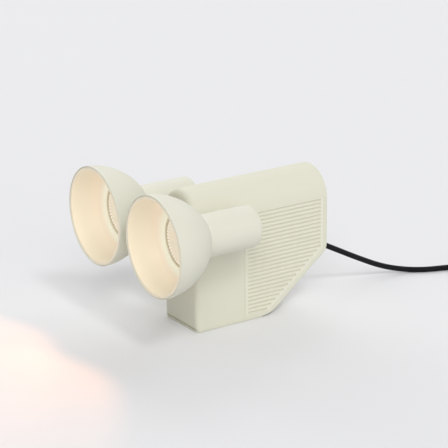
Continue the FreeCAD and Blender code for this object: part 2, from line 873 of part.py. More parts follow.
def casing_lead():
    """The same pair from the tilting axis down into the terminal block."""
    x = terminal_pitch
    points = [
        (lead_meeting_x, pivot_y, axis_height),
        (x, pivot_y, axis_height),
        (x, terminal_y, axis_height - lead_drop),
        (x, terminal_y, terminal_top_z - terminal_hole_depth),
    ]
    return tube(bend_corners(points, lead_bend), lead_radius)[0]


# ---------------------------------------------------------------- wiring in the casing

def terminal_block():
    """Block on the base plate, with the leads entering from above and the cord from behind."""
    w, length = terminal_width / 2, terminal_length / 2
    body = block((-w, terminal_y - length, plate_top_z), (w, terminal_y + length, terminal_top_z))
    floor_z = terminal_top_z - terminal_hole_depth
    for x in (-terminal_pitch, terminal_pitch):
        start, end = (x, terminal_y, floor_z), (x, terminal_y, terminal_top_z + through)
        body = body.cut(cylinder(lead_radius + terminal_clearance, start, end))
    z = plate_top_z + terminal_height / 2
    rear = terminal_y + length
    start, end = (0, rear - terminal_hole_depth, z), (0, rear + through, z)
    return body.cut(cylinder(cord_radius + terminal_clearance, start, end))


def cord_end():
    """The cord inside the casing, from the strain relief down into the terminal block."""
    z = plate_top_z + terminal_height / 2
    rear = terminal_y + terminal_length / 2
    points = [
        gland_point(0),
        gland_point(-cord_end_straight),
        (0, rear + cord_end_turn, z + cord_end_rise),
        (0, rear + cord_end_turn / 2, z),
        (0, rear - terminal_hole_depth, z),
    ]
    return tube(bend_corners(points, cord_end_bend), cord_radius)[0]


def cord_gland():
    """Tapered strain relief with a flange in its seat and a threaded stem through the wall."""
    flange_end = gland_flange_thickness - gland_seat_depth
    stem_end = -gland_boss_depth - gland_nut_thickness - gland_stem_spare
    nose = flange_end + gland_taper_length
    ahead = Vector(*gland_point(1)) - Vector(*gland_point(0))
    taper = Part.makeCone(gland_mouth_radius, gland_nose_radius, gland_taper_length,
                          Vector(*gland_point(flange_end)), ahead)
    body = on_gland(gland_flange_radius, -gland_seat_depth, flange_end)
    body = body.fuse([taper, on_gland(gland_stem_radius, stem_end, -gland_seat_depth)])
    bore_radius = cord_radius + gland_clearance
    body = body.removeSplitter().cut(on_gland(bore_radius, stem_end - through, nose + through))
    pitch = gland_taper_length / (gland_groove_count + 1)
    for k in range(gland_groove_count):
        start = flange_end + (k + 1) * pitch - gland_groove_width / 2
        end = start + gland_groove_width
        ring = on_gland(gland_mouth_radius, start, end)
        body = body.cut(ring.cut(on_gland(bore_radius + gland_groove_wall, start, end)))
    return body


def gland_nut():
    end = -gland_boss_depth - gland_nut_thickness
    nut = on_gland(gland_nut_radius, end, -gland_boss_depth)
    hole = on_gland(gland_stem_radius + gland_clearance, end - through, through)
    return nut.cut(hole)


# ---------------------------------------------------------------- cord, switch and plug

def cord_points():
    """The free cord's route: straight out of the strain relief, then the chosen points."""
    points = [gland_point(0), gland_point(cord_first_run)]
    return points + [(x, rear_y + y, z) for x, y, z in cord_route]


def tail_points():
    return [(x, rear_y + y, z) for x, y, z in tail_route]


def cord_coil():
    """Outer form of the wound cord, a neat ring that the cord runs onto from outside."""
    start, end = cord_points()[-2:]
    half = coil_turns_across * coil_turn_pitch / 2
    inner, outer = coil_radius - half, coil_radius + half
    to_middle = outer - coil_turn_pitch / 2
    a = math.radians(heading_of(start, end))
    x, y = end[0] + to_middle * math.cos(a), end[1] - to_middle * math.sin(a)
    height = 2 * cord_radius + coil_layer_rise
    shape = Outline(inner + cord_radius, 0)
    shape.line(outer - cord_radius, 0)
    shape.arc((outer, height / 2), (outer - cord_radius, height))
    shape.line(inner + cord_radius, height)
    shape.arc((inner, height / 2), (inner + cord_radius, 0))
    return shape.turned_upright(x, y)


def switch_outside():
    """Whole outside of the in-line switch, drawn along Y at the origin."""
    w, length = switch_width / 2, switch_length / 2
    pod = block((-w, -length, 0), (w, length, switch_height))
    upright = [edge for edge in pod.Edges if edge.BoundBox.ZLength > switch_height - touch]
    pod = pod.makeFillet(switch_corner_radius, upright)
    level = [edge for edge in pod.Edges if edge.BoundBox.ZLength < touch]
    return pod.makeFillet(switch_edge_radius, level)


def switch_half(low, high):
    """Part of the switch's outside between two heights, with the cord's channel through it."""
    w, length = switch_width, switch_length
    part = switch_outside().common(block((-w, -length, low), (w, length, high)))
    z = switch_run()[0][2]
    return part.cut(cylinder(cord_radius + switch_clearance, (0, -length, z), (0, length, z)))


def switch_run():
    """The level run of cord that the switch sits on."""
    points = cord_points()
    return points[switch_on_run], points[switch_on_run + 1]


def rocker_pivot_z():
    return switch_height - rocker_pivot_drop


def trunnion(radius, clearance):
    reach = rocker_width / 2 + rocker_gap + rocker_trunnion_length + clearance
    z = rocker_pivot_z()
    return cylinder(radius + clearance, (-reach, 0, z), (reach, 0, z))


def switch_base():
    return switch_half(0, switch_split_z)


def switch_cover():
    """Upper half, with a well for the rocker and holes for its trunnions."""
    w, length = rocker_width / 2 + rocker_gap, rocker_length / 2 + rocker_gap
    low = rocker_pivot_z() - rocker_keel - rocker_length / 2 * math.sin(math.radians(rocker_tilt))
    well = block((-w, -length, low - rocker_gap), (w, length, switch_height + through))
    cover = switch_half(switch_split_z, switch_height).cut(well)
    return cover.cut(trunnion(rocker_trunnion_radius, running_clearance))


def switch_rocker():
    """Rocker with a thumb hollow and a trunnion each side, tilted to one of its two places."""
    z = rocker_pivot_z()
    length = rocker_length / 2
    top = switch_height + rocker_rise
    shape = Outline(-length, z - rocker_keel)
    shape.line(length, z - rocker_keel)
    shape.line(length - rocker_taper, top)
    shape.arc((0, top - rocker_hollow), (rocker_taper - length, top))
    face = shape.face(lambda y, height: (-rocker_width / 2, y, height))
    body = face.extrude(Vector(rocker_width, 0, 0)).fuse(trunnion(rocker_trunnion_radius, 0))
    body.rotate(Vector(0, 0, z), Vector(1, 0, 0), rocker_tilt)
    return body


def plug_body():
    """Flat two-pin plug with a tapered neck, drawn from the neck's end at the origin."""
    w, nose = plug_width / 2, plug_nose_width / 2
    start, end = plug_neck_length, plug_neck_length + plug_length
    shoulder = plug_length * plug_shoulder_share
    shape = Outline(-nose, start)
    shape.line(nose, start)
    shape.line(w, start + shoulder)
    shape.line(w, end - shoulder)
    shape.line(nose, end)
    shape.line(-nose, end)
    shape.line(-w, end - shoulder)
    shape.line(-w, start + shoulder)
    body = shape.face(lambda x, y: (x, y, 0)).extrude(Vector(0, 0, plug_height))
    body = body.makeFillet(plug_edge, [e for e in body.Edges if e.BoundBox.ZLength < touch])
    middle = Vector(0, 0, plug_height / 2)
    cone = Part.makeCone(plug_neck_end_radius, plug_neck_radius, start + plug_edge,
                         middle, Vector(0, 1, 0))
    return body.fuse(cone)


def plug_pins():
    z = plug_height / 2
    start = plug_neck_length + plug_length
    end = start + plug_pin_length
    pins = []
    for x in (-plug_pin_spacing / 2, plug_pin_spacing / 2):
        pin = cylinder(plug_pin_radius, (x, start, z), (x, end, z))
        pins.append(pin.makeFillet(plug_pin_round, edges_where(pin, lambda p: p.y > end - touch)))
    return Part.makeCompound(pins)


# ---------------------------------------------------------------- all nodes

def export_cord():
    """The cord's two tubes, with their bends and volumes for checking."""
    for node, points in (("power_cord", cord_points()), ("cord_tail", tail_points())):
        corners = route_corners(points)
        solid, length = tube(corners, cord_radius)
        export(node, solid)
        radii = [round(radius) for _, radius in corners[1:-1]]
        section_times_length = math.pi * cord_radius ** 2 * length
        print(f"{node}: {length:.0f} mm, arcs of radius {radii} mm")
        print(f"{node}: volume {solid.Volume:.0f}, section x length {section_times_length:.0f} mm3")
    around = 2 * math.pi * coil_radius
    left = cord_length - sum(tube(route_corners(p), cord_radius)[1]
                             for p in (cord_points(), tail_points()))
    print(f"cord_coil: about {left / around:.1f} turns")


def main():
    single = {
        "casing": casing(),
        "base_plate": base_plate(),
        "base_screws": base_screws(),
        "rubber_feet": rubber_feet(),
        "terminal_block": terminal_block(),
        "cord_end": cord_end(),
        "cord_gland": cord_gland(),
        "gland_nut": gland_nut(),
        "cord_coil": cord_coil(),
    }
    for node, shape in single.items():
        export(node, shape)

    on_each_side = {
        "pivot_bush": pivot_bush(),
        "pivot_axle": pivot_axle(),
        "pivot_washer": pivot_washer(),
        "pivot_spring": pivot_spring(),
        "pivot_nut": pivot_nut(),
        "head_shell": head_shell(),
        "liner": liner(),
        "lamp_reflector": lamp_reflector(),
        "lamp_lens": lamp_lens(),
        "lamp_cap": lamp_cap(),
        "lamp_pins": lamp_pins(),
        "lamp_holder": lamp_holder(),
        "holder_bracket": holder_bracket(),
        "bracket_screws": bracket_screws(),
        "head_lead": head_lead(),
        "casing_lead": casing_lead(),
    }
    for node, shape in on_each_side.items():
        export(f"right_{node}", shape)
        export(f"left_{node}", mirrored(shape))

    start, end = switch_run()
    middle = ((start[0] + end[0]) / 2, (start[1] + end[1]) / 2)
    for node, shape in (("switch_base", switch_base()), ("switch_cover", switch_cover()),
                        ("switch_rocker", switch_rocker())):
        export(node, laid(shape, middle, heading_of(start, end)))
    before, end = tail_points()[-2:]
    for node, shape in (("plug_body", plug_body()), ("plug_pins", plug_pins())):
        export(node, laid(shape, end, heading_of(before, end)))
    export_cord()


main()
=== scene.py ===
import bpy
import bmesh
import json
import math
from mathutils import Matrix, Vector


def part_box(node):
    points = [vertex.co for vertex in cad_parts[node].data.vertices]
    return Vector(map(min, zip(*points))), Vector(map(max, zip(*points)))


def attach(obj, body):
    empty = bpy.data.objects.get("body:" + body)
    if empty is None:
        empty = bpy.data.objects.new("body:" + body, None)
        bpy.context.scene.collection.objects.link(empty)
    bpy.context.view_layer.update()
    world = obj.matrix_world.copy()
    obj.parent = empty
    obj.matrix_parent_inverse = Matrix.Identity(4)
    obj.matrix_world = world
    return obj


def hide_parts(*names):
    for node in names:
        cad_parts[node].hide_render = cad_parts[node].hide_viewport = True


# A table lamp with two lit spot heads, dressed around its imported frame.
# Metres, +Z up, the heads face -Y. Every finished piece lies in the frame's own place.

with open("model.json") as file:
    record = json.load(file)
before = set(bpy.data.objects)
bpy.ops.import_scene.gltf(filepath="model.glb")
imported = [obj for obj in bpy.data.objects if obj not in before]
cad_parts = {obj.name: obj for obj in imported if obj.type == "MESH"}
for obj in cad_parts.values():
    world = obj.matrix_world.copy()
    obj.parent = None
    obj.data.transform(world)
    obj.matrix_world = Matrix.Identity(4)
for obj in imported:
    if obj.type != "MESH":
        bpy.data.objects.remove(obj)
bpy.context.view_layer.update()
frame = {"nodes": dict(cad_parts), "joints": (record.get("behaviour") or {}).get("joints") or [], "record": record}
nodes = frame["nodes"]
print("stage: frame loaded,", len(nodes), "nodes")

casingLow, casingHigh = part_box("casing")
casingHalf = 0.02825                          # half the casing's width, without its bosses
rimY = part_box("right_head_shell")[0].y
headX = frame["joints"][0]["pos_m"][0]        # the first joint tilts the right-hand head
axisZ = frame["joints"][0]["pos_m"][2]
sides = {"right": 1, "left": -1}
tiny = 1e-6                                   # metres, to tell places apart
sharpAngle = 40                               # degrees, past which an edge stays sharp


# Camera

cameraView = {
    "azimuth": 56.914,                        # degrees, 0 looks along +Y
    "elevation": 18.886,
    "roll": -0.601,
    "target": (-0.010357, 0.011762, 0.084386),
    "distance": 1.770485,
    "lens": 153.156,                          # millimetres, as the sensor is
    "sensor": 36,
}


def makeCamera(wants):
    azimuth, elevation, roll = (math.radians(wants[key])
                                for key in ("azimuth", "elevation", "roll"))
    back = Vector((math.sin(azimuth) * math.cos(elevation),
                   -math.cos(azimuth) * math.cos(elevation),
                   math.sin(elevation)))
    level = Vector((math.cos(azimuth), math.sin(azimuth), 0))
    upright = back.cross(level)
    right = level * math.cos(roll) + upright * math.sin(roll)
    above = upright * math.cos(roll) - level * math.sin(roll)
    turn = Matrix((right, above, back)).transposed().to_4x4()
    place = Vector(wants["target"]) + back * wants["distance"]
    data = bpy.data.cameras.new("camera")
    data.sensor_width = wants["sensor"]
    data.lens = wants["lens"]
    camera = bpy.data.objects.new("camera", data)
    camera.matrix_world = Matrix.Translation(place) @ turn
    bpy.context.scene.collection.objects.link(camera)
    bpy.context.scene.camera = camera


makeCamera(cameraView)
print("stage: camera")


# Materials

class Wire:
    # One value or colour on its way through a material. Sums on it add Math nodes.

    def __init__(self, board, socket):
        self.board = board
        self.socket = socket

    def __add__(self, other):
        return self.board.reckon("ADD", self, other)

    def __radd__(self, other):
        return self.board.reckon("ADD", other, self)

    def __sub__(self, other):
        return self.board.reckon("SUBTRACT", self, other)

    def __rsub__(self, other):
        return self.board.reckon("SUBTRACT", other, self)

    def __mul__(self, other):
        return self.board.reckon("MULTIPLY", self, other)

    def __rmul__(self, other):
        return self.board.reckon("MULTIPLY", other, self)

    def __pow__(self, other):
        return self.board.reckon("POWER", self, other)

    def __rpow__(self, other):
        return self.board.reckon("POWER", other, self)

    def between(self, start, end):
        # 0 before start, 1 after end, with a soft passage.
        return self.board.node("ShaderNodeMapRange", {"interpolation_type": "SMOOTHSTEP"},
                               {0: self, 1: start, 2: end, 3: 0.0, 4: 1.0})


class Board:
    # The nodes of a material or of the world.

    def __init__(self, tree):
        self.tree = tree

    def node(self, kind, settings=None, inputs=None, output=0):
        # Settings come first, because they decide which sockets a node has.
        made = self.tree.nodes.new(kind)
        for key, value in (settings or {}).items():
            setattr(made, key, value)
        for key, value in (inputs or {}).items():
            if isinstance(value, Wire):
                self.tree.links.new(value.socket, made.inputs[key])
            else:
                made.inputs[key].default_value = value
        return Wire(self, made.outputs[output])

    def reckon(self, operation, *values):
        return self.node("ShaderNodeMath", {"operation": operation}, dict(enumerate(values)))


class Finish(Board):
    # A material, with its Principled shader's plain numbers set on its own sockets.

    def __init__(self, name, **plain):
        self.material = bpy.data.materials.new(name)
        self.material.use_nodes = True
        super().__init__(self.material.node_tree)
        self.shader = next(n for n in self.tree.nodes if n.type == "BSDF_PRINCIPLED")
        for key, value in plain.items():
            self.shader.inputs[key.replace("_", " ")].default_value = value

    def feed(self, **wires):
        for key, wire in wires.items():
            self.tree.links.new(wire.socket, self.shader.inputs[key.replace("_", " ")])

    def place(self):
        return self.node("ShaderNodeTexCoord", output="Object")

    def split(self, vector, axes):
        return (self.node("ShaderNodeSeparateXYZ", None, {0: vector}, output=axis) for axis in axes)

    def noise(self, size, detail=2.0, roughness=0.5):
        # A pattern with specks of about this size, in metres.
        return self.node("ShaderNodeTexNoise", None, {
            "Vector": self.place(), "Scale": 1 / size, "Detail": detail, "Roughness": roughness})

    def grain(self, size):
        # The same, more broken up, for a grained or pebbled skin.
        return self.noise(size, 3.0, 0.6)

    def blend(self, factor, first, second):
        # Mixes two colours, given as triples or wires.
        def colour(value):
            return value if isinstance(value, Wire) else (*value, 1)
        return self.node("ShaderNodeMix", {"data_type": "RGBA"},
                         {"Factor": factor, 6: colour(first), 7: colour(second)}, output=2)

    def bump(self, height, relief):
        return self.node("ShaderNodeBump", None,
                         {"Height": height, "Distance": relief, "Strength": 1.0})


grooveWants = {
    "floor": (0.640, 0.628, 0.505),           # colours: painted shade on the grooves' floors
    # painted highlight on the ribs
    "rib": (0.748, 0.738, 0.616),
    # paler ends of the grooves, painted light against their shade
    "end": (0.90, 0.89, 0.77),
    "start": 0.0545,                          # from the casing's front to the grooves
    "margin": 0.0056,                         # from them to the rear face and the chamfer
    "endStart": 0.0032,                       # from the chamfer to their rounded ends
    "bottom": 0.0062,
    "top": 0.1045,
    "shallow": 0.0002,                        # depths between which a floor's painted shade comes in
    "deep": 0.0006,
    "chamferFoot": 0.0815,                    # from the front to where the chamfer meets the table
    "chamferSlope": 38.5,                     # degrees
    "soft": 0.0005,
}


def paintShadeOnPanel(paint, wants, tone):
    # Painted shade and light on the ribbed panel: the grooves' floors a little darker, the ribs between them a
    # little paler as a painted highlight, and the grooves' ends at the chamfer paler against their own shade.
    x, y, z = paint.split(paint.place(), "XYZ")
    slope = math.radians(wants["chamferSlope"])
    foot = (casingLow.y + wants["chamferFoot"]) * math.sin(slope)
    above = z * math.cos(slope) - y * math.sin(slope) + foot

    def past(distance, edge):
        return distance.between(edge, edge + wants["soft"])

    sunk = 1 - ((x * x) ** 0.5).between(casingHalf - wants["deep"], casingHalf - wants["shallow"])
    panel = (past(y, casingLow.y + wants["start"]) * (1 - past(y, casingHigh.y - wants["margin"]))
             * past(z, wants["bottom"]) * (1 - past(z, wants["top"])))
    clear = past(above, wants["margin"])
    paintedLightEnds = past(above, wants["endStart"]) * (1 - clear)
    tone = paint.blend(panel * clear, tone, wants["rib"])
    tone = paint.blend(panel * clear * sunk, tone, wants["floor"])
    return paint.blend(panel * paintedLightEnds * sunk, tone, wants["end"])


def paintedMetal(name, wants, grooves=None):
    # Fine matt powder coat: a pebbled skin, with its tone wandering a little.
    paint = Finish(name, Specular_IOR_Level=wants["specular"])
    pebble = paint.grain(wants["pebble"])
    tone = paint.blend(paint.noise(wants["driftSize"]), wants["shade"], wants["colour"])
    # painted shade in the grooves and painted highlight on the ribs
    if grooves:
        tone = paintShadeOnPanel(paint, grooves, tone)
    paint.feed(Base_Color=tone,
               Roughness=wants["roughness"] + (pebble - 0.5) * wants["roughnessSpread"],
               Normal=paint.bump(pebble, wants["relief"]))
    return paint.material


casingPaintWants = {
    "colour": (0.706, 0.696, 0.576),
    "shade": (0.690, 0.680, 0.560),
    "roughness": 0.56,
    "roughnessSpread": 0.12,
    "specular": 0.35,
    "pebble": 0.00045,                        # metres, as relief and driftSize are
    "relief": 0.00003,
    "driftSize": 0.05,
}

headPaintLitWants = {
    **casingPaintWants,                       # the heads take the same coat a little paler and cooler, as painted light
    "colour": (0.716, 0.708, 0.604),
    "shade": (0.700, 0.692, 0.588),
}

plasticWants = {
    "black": {"colour": (0.012, 0.012, 0.013), "roughness": 0.5, "grain": 0.0004, "relief": 0.00003},
    "bush": {"colour": (0.72, 0.70, 0.62), "roughness": 0.42, "grain": 0.0008, "relief": 0.00001},
    "inner": {"colour": (0.78, 0.78, 0.75), "roughness": 0.4, "grain": 0.0008, "relief": 0.00001},
    "ceramic": {"colour": (0.80, 0.79, 0.74), "roughness": 0.7, "grain": 0.0005, "relief": 0.00002},
    "rubber": {"colour": (0.022, 0.022, 0.022), "roughness": 0.85, "grain": 0.0006, "relief": 0.00004},
    "sleeve": {"colour": (0.62, 0.58, 0.50), "roughness": 0.75, "grain": 0.0005, "relief": 0.00004},
}
plasticSpread = {"lighter": 1.12, "patch": 0.025, "roughness": 0.15}


def moulded(name, wants):
    # Moulded plastic or rubber with a spark-eroded grain.
    plastic = Finish(name)
    grain = plastic.grain(wants["grain"])
    wander = plastic.noise(plasticSpread["patch"])
    lighter = tuple(c * plasticSpread["lighter"] for c in wants["colour"])
    plastic.feed(Base_Color=plastic.blend(wander, wants["colour"], lighter),
                 Roughness=wants["roughness"] + (grain - 0.5) * plasticSpread["roughness"],
                 Normal=plastic.bump(grain, wants["relief"]))
    return plastic.material


metalWants = {
    "plated": {"colour": (0.60, 0.60, 0.59), "roughness": 0.32, "grain": 0.0006},
    "pin": {"colour": (0.70, 0.66, 0.58), "roughness": 0.22, "grain": 0.0010},
}
metalSpread = {"darker": 0.82, "cloud": 0.00625, "cloudDetail": 3.0, "roughness": 0.18,
               "relief": 0.000006}


def plated(name, wants):
    # Zinc or nickel plate, with faint cloudy patches.
    metal = Finish(name, Metallic=1.0)
    cloud = metal.noise(metalSpread["cloud"], metalSpread["cloudDetail"])
    darker = tuple(c * metalSpread["darker"] for c in wants["colour"])
    metal.feed(Base_Color=metal.blend(cloud, darker, wants["colour"]),
               Roughness=wants["roughness"] + (cloud - 0.5) * metalSpread["roughness"],
               Normal=metal.bump(metal.noise(wants["grain"]), metalSpread["relief"]))
    return metal.material


bowlWants = {
    "colour": (0.84, 0.75, 0.61),
    "shade": (0.82, 0.73, 0.59),
    "roughness": 0.48,
    "skin": 1 / 1500,                         # metres, as relief and drift are
    "relief": 0.00002,
    "drift": 1 / 30,
    "glowRim": (0.08, 0.085, 0.06),           # the lamp's light, scattered round the bowl, painted on as a glow
    "glowDeep": (0.165, 0.135, 0.10),
    "glowRing": (0.20, 0.26, 0.23),           # and next to its opening
    "rimRadius": 0.0440,
    "deepRadius": 0.0360,
    "ringInner": 0.0300,                      # radii between which the ring fades out
    "ringOuter": 0.0358,
    "collar": (0.62, 0.54, 0.38),             # painted shade on the wall round the lamp, out of its light
    "collarGlow": (0.20, 0.16, 0.09),
    "collarInner": 0.0260,
    "collarOuter": 0.0262,
}


def fromAxis(finish, side):
    # How far across and above a head's axis a place lies.
    x, z = finish.split(finish.place(), "XZ")
    return x - headX * sides[side], z - axisZ


def lengthOf(across, rise):
    return (across * across + rise * rise) ** 0.5


def bowlEnamel(name, wants, side):
    # Satin enamel, with the lit lamp's light painted on as a glow, most of all in a ring next to its opening, and
    # painted shade on the wall round the lamp.
    enamel = Finish(name, Roughness=wants["roughness"], Emission_Strength=1.0)
    radius = lengthOf(*fromAxis(enamel, side))
    pastCollar = radius.between(wants["collarInner"], wants["collarOuter"])
    pastRing = radius.between(wants["ringInner"], wants["ringOuter"])
    atRim = radius.between(wants["deepRadius"], wants["rimRadius"])
    tone = enamel.blend(enamel.noise(wants["drift"]), wants["shade"], wants["colour"])
    glow = enamel.blend(atRim, wants["glowDeep"], wants["glowRim"])
    glow = enamel.blend(pastRing, wants["glowRing"], glow)
    enamel.feed(Base_Color=enamel.blend(pastCollar, wants["collar"], tone),
                Emission_Color=enamel.blend(pastCollar, wants["collarGlow"], glow),
                Normal=enamel.bump(enamel.noise(wants["skin"]), wants["relief"]))
    return enamel.material


lensWants = {
    "colour": (0.75, 0.70, 0.62),
    "cloudy": (0.82, 0.78, 0.70),
    "cloud": 0.0025,
    "roughness": 0.35,
    "glow": (0.19, 0.17, 0.11),
    "glowMiddle": (0.08, 0.06, 0.04),
    "glowRib": (0.34, 0.35, 0.30),
    "glowGroove": (0.06, 0.02, 0.0),
    "middle": 0.012,                          # radii, from the lamp's axis
    "ribStart": 0.0200,
    "ribFull": 0.0208,
    "ribs": 46,
}


def frostedLens(name, wants, side):
    # Pressed glass front of the lamp, lit from behind, with bright ribs round its edge.
    glass = Finish(name, Roughness=wants["roughness"], Emission_Strength=1.0)
    across, rise = fromAxis(glass, side)
    radius = lengthOf(across, rise)
    angle = glass.reckon("ARCTAN2", rise, across)
    wave = glass.reckon("COSINE", angle * wants["ribs"]) * 0.5 + 0.5
    inner = glass.blend(radius.between(0, wants["middle"]), wants["glowMiddle"], wants["glow"])
    edge = glass.blend(wave, wants["glowGroove"], wants["glowRib"])
    atEdge = radius.between(wants["ribStart"], wants["ribFull"])
    glass.feed(Base_Color=glass.blend(glass.noise(wants["cloud"]), wants["colour"], wants["cloudy"]),
               Emission_Color=glass.blend(atEdge, inner, edge))
    return glass.material


cordWants = {
    "diameter": 0.0053,
    "length": 1.8,
    "exitHeight": 0.0541,                     # where the strain relief's axis meets the rear face
    "exitAngle": 28,                          # degrees below the horizontal
    "firstRun": 0.0289,
    "route": [                                # across, behind the casing, height
        (0.0010, 0.0570, 0.0236),
        (0.0031, 0.0859, 0.0094),
        (0.0086, 0.1102, 0.0028),
        (0.0197, 0.1255, 0.00265),
        (0.0273, 0.1478, 0.00265),
        (0.0450, 0.1761, 0.0055),
        (0.0824, 0.2305, 0.0055),
        (0.1036, 0.2558, 0.00265),
    ],
    "tail": [                                 # from the coil to the plug
        (0.1735, 0.2122, 0.0076),
        (0.1711, 0.2009, 0.0070),
        (0.1681, 0.1899, 0.0070),
    ],
    "turnPitch": 0.0054,
    "outerTurn": 0.0398,                      # radius of the coil's outermost turn
    "layerRise": 0.00535,
    "turnsPerLayer": 3,
    "innerDip": 0.0022,                       # how far the climbing turn swings inwards
    "lastTurn": 150.1,                        # degrees, before the cord leaves the coil
    "pointsPerTurn": 14,
    "resolution": 12,                         # of the smooth line, between two points
    "sampleStep": 0.0015,
    "sides": 20,
}


def coilTurns(wants, start, heading):
    # A neat coil: inwards along the table, up on its innermost turn, and outwards on top.
    centre = start + Vector((math.cos(heading), -math.sin(heading), 0)) * wants["outerTurn"]
    spiral = wants["turnsPerLayer"]
    inner = wants["outerTurn"] - spiral * wants["turnPitch"]
    last = wants["lastTurn"] / 360
    total = 2 * spiral + 1 + last
    count = round(total * wants["pointsPerTurn"])
    points = []
    for i in range(1, count + 1):
        turn = total * i / count
        if turn <= spiral:
            radius, rise = wants["outerTurn"] - turn * wants["turnPitch"], 0
        elif turn <= spiral + 1:
            part = turn - spiral
            radius = inner - wants["innerDip"] * math.sin(math.pi * part)
            rise = part * part * (3 - 2 * part)
        else:
            radius, rise = inner + (turn - spiral - 1) * wants["turnPitch"], 1
        angle = heading - math.pi / 2 + 2 * math.pi * turn
        points.append(centre + Vector((radius * math.sin(angle), radius * math.cos(angle),
                                       rise * wants["layerRise"])))
    return points


def cordRoute(wants):
    behind = casingHigh.y
    angle = math.radians(wants["exitAngle"])
    leave = Vector((0, behind, wants["exitHeight"]))
    route = [leave, leave + Vector((0, math.cos(angle), -math.sin(angle))) * wants["firstRun"]]
    route += [Vector((x, behind + y, z)) for x, y, z in wants["route"]]
    along = route[-1] - route[-2]
    route += coilTurns(wants, route[-1], math.atan2(along.x, along.y))
    return route + [Vector((x, behind + y, z)) for x, y, z in wants["tail"]]


def curveThrough(name, kind, points, **settings):
    data = bpy.data.curves.new(name, "CURVE")
    data.dimensions = "3D"
    for key, value in settings.items():
        setattr(data, key, value)
    spline = data.splines.new(kind)
    spline.points.add(len(points) - 1)
    for point, at in zip(spline.points, points):
        point.co = (*at, 1)
    if kind == "NURBS":
        spline.order_u = 3
        spline.use_endpoint_u = True
    return bpy.data.objects.new(name, data)


def meshOf(maker):
    # The finished mesh of a curve's object, and the object is gone.
    bpy.context.scene.collection.objects.link(maker)
    graph = bpy.context.evaluated_depsgraph_get()
    mesh = bpy.data.meshes.new_from_object(maker.evaluated_get(graph))
    bpy.data.objects.remove(maker)
    return mesh


def evenly(points, step):
    # Points a step apart along a line of many points.
    lengths = [0.0]
    for a, b in zip(points, points[1:]):
        lengths.append(lengths[-1] + (b - a).length)
    count = round(lengths[-1] / step)
    spaced, at = [], 0
    for i in range(count + 1):
        want = lengths[-1] * i / count
        while at < len(points) - 2 and lengths[at + 1] < want:
            at += 1
        part = (want - lengths[at]) / (lengths[at + 1] - lengths[at])
        spaced.append(points[at].lerp(points[at + 1], part))
    return spaced, lengths[-1]


sleeveWants = {
    "dark": (0.002, 0.002, 0.003),
    "light": (0.010, 0.010, 0.013),
    "roughness": 0.85,
    "specular": 0.2,
    "sheen": 0.02,
    "sheenRoughness": 0.5,
    "threads": 24,                            # each way round the cord
    "threadPitch": 0.0115,                    # along the cord, for one turn of a thread
    "relief": 0.00025,
    "fuzz": 0.0004,
    "fuzzTone": 0.3,                          # its share of the tone, and then of the relief
    "fuzzRelief": 0.4,
}


def textileSleeve(name, wants, cordLength):
    # Two sets of threads that wind opposite ways round the cord, one over the other.
    cloth = Finish(name, Roughness=wants["roughness"], Specular_IOR_Level=wants["specular"],
                   Sheen_Weight=wants["sheen"], Sheen_Roughness=wants["sheenRoughness"])
    uv = cloth.node("ShaderNodeUVMap", {"uv_map": "UVMap"})
    along, around = cloth.split(uv, "XY")
    half = wants["threads"] / 2
    turns = along * (cordLength / wants["threadPitch"])
    one, other = (cloth.reckon("PINGPONG", around * half + turns * (half * sense), 0.5) * 2
                  for sense in (1, -1))
    over = cloth.reckon("GREATER_THAN", cloth.reckon("PINGPONG", around * half, 0.5), 0.25)
    weave = one * over + other * (1 - over)
    fuzz = cloth.noise(wants["fuzz"])
    share = weave * (1 - wants["fuzzTone"]) + fuzz * wants["fuzzTone"]
    cloth.feed(Base_Color=cloth.blend(share, wants["dark"], wants["light"]),
               Normal=cloth.bump(weave + fuzz * wants["fuzzRelief"], wants["relief"]))
    return cloth.material


def wear(piece, material):
    # One material all over a piece.
    piece.data.materials.clear()
    piece.data.materials.append(material)


def newPiece(name, mesh, material):
    piece = bpy.data.objects.new(name, mesh)
    bpy.context.scene.collection.objects.link(piece)
    wear(piece, material)
    return piece


def addPiece(name, mesh, material, body):
    piece = newPiece(name, mesh, material)
    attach(piece, body)
    return piece


def meshFrom(work, name):
    # Smooth faces, with the sharp edges kept, and the bmesh is gone.
    for edge in work.edges:
        edge.smooth = edge.calc_face_angle(0) < math.radians(sharpAngle)
    for face in work.faces:
        face.smooth = True
    mesh = bpy.data.meshes.new(name)
    work.to_mesh(mesh)
    work.free()
    return mesh


def makeCord(wants):
    line = meshOf(curveThrough("cordLine", "NURBS", cordRoute(wants),
                               resolution_u=wants["resolution"]))
    path, length = evenly([v.co.copy() for v in line.vertices], wants["sampleStep"])
    bpy.data.meshes.remove(line)
    tube = curveThrough("cordTube", "POLY", path, bevel_depth=wants["diameter"] / 2,
                        bevel_resolution=wants["sides"] // 2 - 2, use_fill_caps=True)
    mesh = meshOf(tube)
    for face in mesh.polygons:
        face.use_smooth = len(face.vertices) == 4
    sleeve = textileSleeve("cordTextile", sleeveWants, length)
    cord = addPiece("cord", mesh, sleeve, "casing")
    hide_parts("power_cord", "cord_coil", "cord_tail")
    print("stage: cord,", round(length, 3), "m,", len(mesh.polygons), "faces")


makeCord(cordWants)


# Heads

def lathe(name, outline, turns, x):
    # Spins an outline of (radius, y) pairs about a head's axis, which lies along Y.
    work = bmesh.new()
    corners = [work.verts.new((x + radius, y, axisZ)) for radius, y in outline]
    edges = [work.edges.new(pair) for pair in zip(corners, corners[1:] + corners[:1])]
    bmesh.ops.spin(work, geom=corners + edges, cent=(x, 0, axisZ), axis=(0, 1, 0),
                   angle=2 * math.pi, steps=turns, use_merge=True, use_duplicate=False)
    bmesh.ops.remove_doubles(work, verts=work.verts, dist=tiny)
    bmesh.ops.recalc_face_normals(work, faces=work.faces)
    work.verts.index_update()
    count = len(work.verts)

    def order(face):
        # The spin makes its faces in another order each run, so they are put in one.
        around = [vert.index for vert in face.verts]
        return min(around) * count + max(around)

    work.faces.sort(key=order)
    return meshFrom(work, name)


